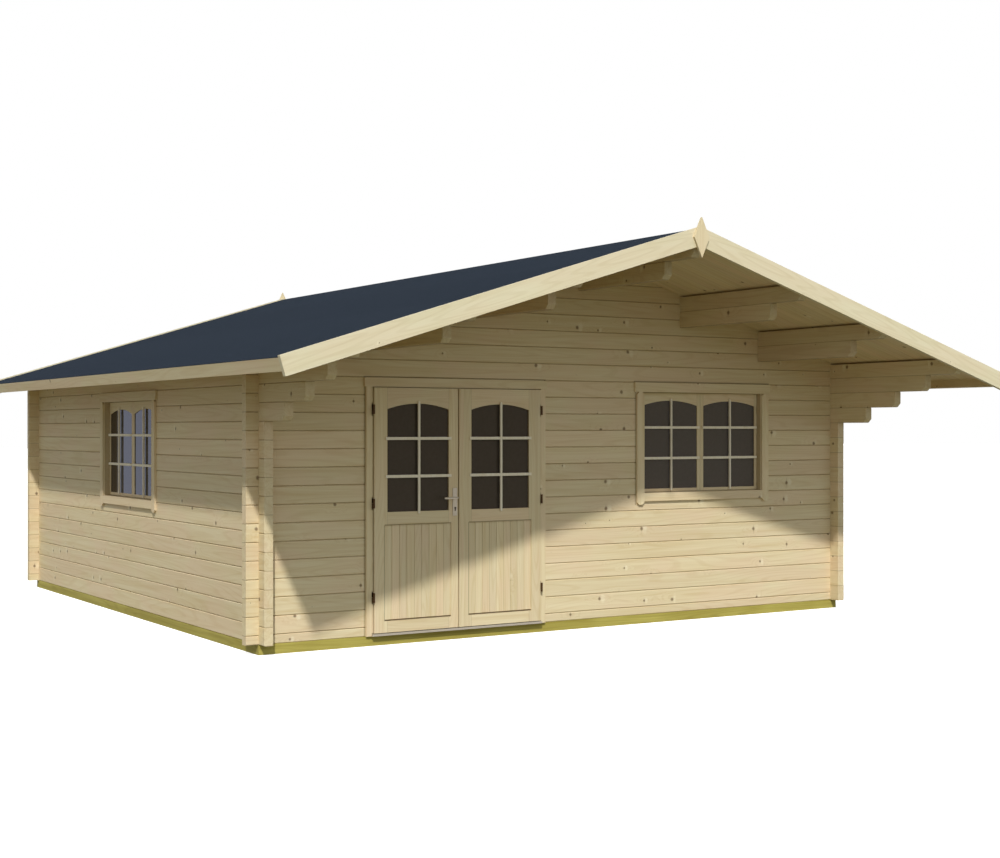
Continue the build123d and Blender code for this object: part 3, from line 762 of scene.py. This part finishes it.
def add_gap_strips():
    """A strip on each jamb narrows the gap beside the leaf, and stops short of the hinges."""
    strips = bmesh.new()
    trims = halves("door_side_trims", 0)
    for side, trim, inward in (("left", trims[0], 1), ("right", trims[1], -1)):
        leaf_low, leaf_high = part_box(f"{side}_door_leaf")
        jamb_x = trim[1].x if side == "left" else trim[0].x
        leaf_x = leaf_low.x if side == "left" else leaf_high.x
        left, right = sorted((jamb_x, leaf_x - inward * gap_strip_clearance))
        front, back = trim[0].y, trim[0].y + gap_strip_depth
        hinge_names = (f"{side}_door_frame_hinges", f"{side}_door_leaf_hinges")
        heights = [vertex.co.z for name in hinge_names for vertex in nodes[name].data.vertices]
        bottom = leaf_low.z
        for hinge_bottom, hinge_top in groups(heights, hinge_spacing):
            high = (right, back, hinge_bottom - hinge_clearance)
            eased_box(strips, (left, front, bottom), high, gap_strip_edge)
            bottom = hinge_top + hinge_clearance
        eased_box(strips, (left, front, bottom), (right, back, leaf_high.z), gap_strip_edge)
    new_piece("door_gap_strips", strips, uprights, "cabin")


def finish_window(window, level, bar_shift, pane_glass, seed):
    """A window's materials and glazing bars. The level letter names the axis along its wall."""
    axis = "xyz".index(level)
    casement_low, casement_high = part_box(f"{window}_casements")
    frame_low, frame_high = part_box(f"{window}_frame")
    panes = [Pane(box, axis) for box in halves(f"{window}_panes", axis)]
    centres = [pane.centre for pane in panes]
    half_opening = panes[0].half_opening
    casement_wood = framed_wood(f"{window}_casement_wood", level, centres, half_opening, seed)
    frame_centre = (frame_low[axis] + frame_high[axis]) / 2
    frame_half = (casement_high[axis] - casement_low[axis]) / 2 + casement_gap
    frame_wood = framed_wood(f"{window}_frame_wood", level, [frame_centre], frame_half, seed + 1)
    dress(casement_wood, f"{window}_casements")
    dress(frame_wood, f"{window}_frame")
    dress(pane_glass, f"{window}_panes")
    bars = bmesh.new()
    for pane in panes:
        for face, outward in ((casement_low[1 - axis], -1), (casement_high[1 - axis], 1)):
            add_bars(bars, pane, face, outward, bar_shift, **window_bars)
    new_piece(f"{window}_bars", bars, bar_wood, "cabin")


def ring_points(centre, first, second, radius):
    """Points of a circle in the plane of two directions."""
    turns = [2 * math.pi * step / round_steps for step in range(round_steps)]
    return [centre + radius * (math.cos(turn) * first + math.sin(turn) * second) for turn in turns]


def skin(mesh, rings):
    """Faces between rings of points, closed at both ends."""
    made = [[mesh.verts.new(point) for point in ring] for ring in rings]
    for ring, following in zip(made, made[1:]):
        for i in range(len(ring)):
            j = (i + 1) % len(ring)
            mesh.faces.new((ring[i], ring[j], following[j], following[i]))
    mesh.faces.new(made[0])
    mesh.faces.new(made[-1][::-1])


def add_lever_arm(mesh, axis_x, axis_z, root_y, arm_y, end_x):
    """A round bar that leaves the plate, bends and runs to a domed end."""
    out = Vector((0, math.copysign(1, arm_y - root_y), 0))
    along = Vector((math.copysign(1, end_x - axis_x), 0, 0))
    up = Vector((0, 0, 1))
    corner = Vector((axis_x, arm_y, axis_z))
    bend_centre = corner - lever_bend * out + lever_bend * along
    rings = [ring_points(Vector((axis_x, root_y, axis_z)), along, up, lever_radius)]
    for step in range(bend_steps + 1):
        turn = math.pi / 2 * step / bend_steps
        spoke = -math.cos(turn) * along + math.sin(turn) * out
        rings.append(ring_points(bend_centre + lever_bend * spoke, -spoke, up, lever_radius))
    dome_centre = Vector((end_x, arm_y, axis_z)) - lever_radius * along
    for step in range(bend_steps):
        turn = math.pi / 2 * step / bend_steps
        centre = dome_centre + lever_radius * math.sin(turn) * along
        rings.append(ring_points(centre, -out, up, lever_radius * math.cos(turn)))
    skin(mesh, rings)


def arc_points(centre_x, y, centre_z, radius, start, sweep, steps):
    """Points of an upright arc, from a start angle through a sweep."""
    turns = [start + sweep * step / steps for step in range(steps + 1)]
    spokes = [(math.cos(turn), math.sin(turn)) for turn in turns]
    return [Vector((centre_x + radius * x, y, centre_z + radius * z)) for x, z in spokes]


def plate_outline(centre_x, bottom, top, width, inset, y):
    """A plate's outline with rounded corners, drawn in by an inset."""
    points = []
    half = width / 2 - plate_corner
    quarter_turn = math.pi / 2
    corners = ((half, top - plate_corner), (-half, top - plate_corner))
    corners += ((-half, bottom + plate_corner), (half, bottom + plate_corner))
    for quarter, (x, z) in enumerate(corners):
        start = quarter * quarter_turn
        points += arc_points(centre_x + x, y, z, plate_corner - inset, start, quarter_turn, bend_steps)
    return points


def lock_outline(centre_x, centre_z, y):
    """A key cylinder's outline: a round barrel with a narrower foot below it."""
    half_foot = lock_foot_width / 2
    join = math.asin(half_foot / lock_radius)
    start = join - math.pi / 2
    points = arc_points(centre_x, y, centre_z, lock_radius, start, 2 * (math.pi - join), round_steps)
    foot_z = centre_z - lock_foot_drop
    return points + arc_points(centre_x, y, foot_z, half_foot, math.pi, math.pi, bend_steps)


def add_handle():
    """Plates with rounded corners, a lock under the lever on each side, and a smooth lever."""
    plate_low, plate_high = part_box("door_handle_plates")
    lever_low, lever_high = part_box("door_lever")
    leaf_low, leaf_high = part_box("left_door_leaf")
    axis_x = (plate_low.x + plate_high.x) / 2
    axis_z = (lever_low.z + lever_high.z) / 2
    lock_z = axis_z - lock_drop
    width = plate_high.x - plate_low.x
    plates = bmesh.new()
    locks = bmesh.new()
    lever = bmesh.new()
    sides = ((leaf_low.y, plate_low.y, lever_low.y), (leaf_high.y, plate_high.y, lever_high.y))
    for leaf_face, plate_face, lever_face in sides:
        out = math.copysign(1, plate_face - leaf_face)
        steps = ((0, leaf_face), (0, plate_face - out * plate_edge), (plate_edge, plate_face))
        outline = (axis_x, plate_low.z, plate_high.z, width)
        skin(plates, [plate_outline(*outline, inset, y) for inset, y in steps])
        lock_face = plate_face + out * lock_proud
        skin(locks, [lock_outline(axis_x, lock_z, y) for y in (plate_face, lock_face)])
        slot_back, slot_front = sorted((lock_face, lock_face + out * key_slot_proud))
        slot_low = (axis_x - key_slot_width / 2, slot_back, lock_z - key_slot_height / 2)
        slot_high = (axis_x + key_slot_width / 2, slot_front, lock_z + key_slot_height / 2)
        eased_box(locks, slot_low, slot_high, key_slot_edge)
        add_lever_arm(lever, axis_x, axis_z, plate_face, lever_face - out * lever_radius, lever_low.x)
    plate_piece = new_piece("handle_plates", plates, steel, "left_leaf")
    new_piece("handle_locks", locks, lock_metal, "left_leaf")
    lever_piece = new_piece("handle_lever", lever, steel, "lever")
    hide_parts("door_handle_plates")
    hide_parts("door_lever")
    for piece in (plate_piece, lever_piece):
        piece.data.shade_smooth()


def add_floor():
    """A pale floor that the camera sees and the cabin doesn't."""
    floor_mesh = bpy.data.meshes.new("studio_floor")
    half = floor_size / 2
    corners = [(-half, -half, 0), (half, -half, 0), (half, half, 0), (-half, half, 0)]
    floor_mesh.from_pydata(corners, [], [(0, 1, 2, 3)])
    floor = bpy.data.objects.new("studio_floor", floor_mesh)
    bpy.context.scene.collection.objects.link(floor)
    face = dict(Base_Color=floor_grey, Roughness=floor_roughness)
    glow = dict(Emission_Color=white, Emission_Strength=floor_glow)
    floor_mesh.materials.append(Shader("pale_floor").finish(**face, **glow))
    floor.visible_diffuse = False
    floor.visible_glossy = False


def add_sun():
    """The sun, which throws the roof's shadow on the front wall."""
    sun = bpy.data.lights.new("sun", "SUN")
    sun.energy = sun_strength
    sun.angle = math.radians(sun_spread_deg)
    lamp = bpy.data.objects.new("sun", sun)
    lamp.rotation_euler = Vector(sun_travel).to_track_quat("-Z", "Y").to_euler()
    bpy.context.scene.collection.objects.link(lamp)


def add_sky():
    """White to the camera. The cabin gets a soft even light, and its glass a bluer sky behind it."""
    world = bpy.data.worlds.new("studio")
    bpy.context.scene.world = world
    world.use_nodes = True
    world.node_tree.nodes.clear()
    sky = Nodes(world.node_tree)
    ray = world.node_tree.nodes.new("ShaderNodeLightPath").outputs
    direction = sky.split(sky.node("ShaderNodeTexCoord", {}, "Generated"))
    above = sky.mix(sky.between(direction[1], *front_to_back_span), front_light, sky_light)
    soft = sky.mix(sky.between(direction[2], *ground_to_sky_span), ground_light, above)
    gloss = sky.mix(sky.between(direction[1], *gloss_span), front_gloss, back_sky_gloss)
    light = sky.mix(ray["Is Glossy Ray"], soft, gloss)
    seen = sky.mix(ray["Is Camera Ray"], light, white)
    background = sky.node("ShaderNodeBackground", {"Color": seen, "Strength": 1.0})
    sky.node("ShaderNodeOutputWorld", {"Surface": background}, None)


def add_camera():
    """The camera, where the photograph was taken from."""
    lens = bpy.data.cameras.new("camera")
    lens.sensor_width = camera_sensor
    lens.lens = camera_lens
    lens.clip_end = camera_reach
    camera = bpy.data.objects.new("camera", lens)
    camera.location = camera_place
    camera.rotation_euler = (math.radians(camera_tilt_deg), 0.0, math.radians(camera_turn_deg))
    bpy.context.scene.collection.objects.link(camera)
    bpy.context.scene.camera = camera


# Door, windows and handle, then the floor, light and camera
finish_leaf("left", 25.0)
finish_leaf("right", 27.0)
add_gap_strips()
finish_window("front_window", "x", front_bar_shift, front_pane, 31.0)
finish_window("left_window", "y", left_bar_shift, door_pane, 33.0)
add_handle()
add_floor()
add_sun()
add_sky()
add_camera()
bpy.context.scene.view_settings.view_transform = "Standard"
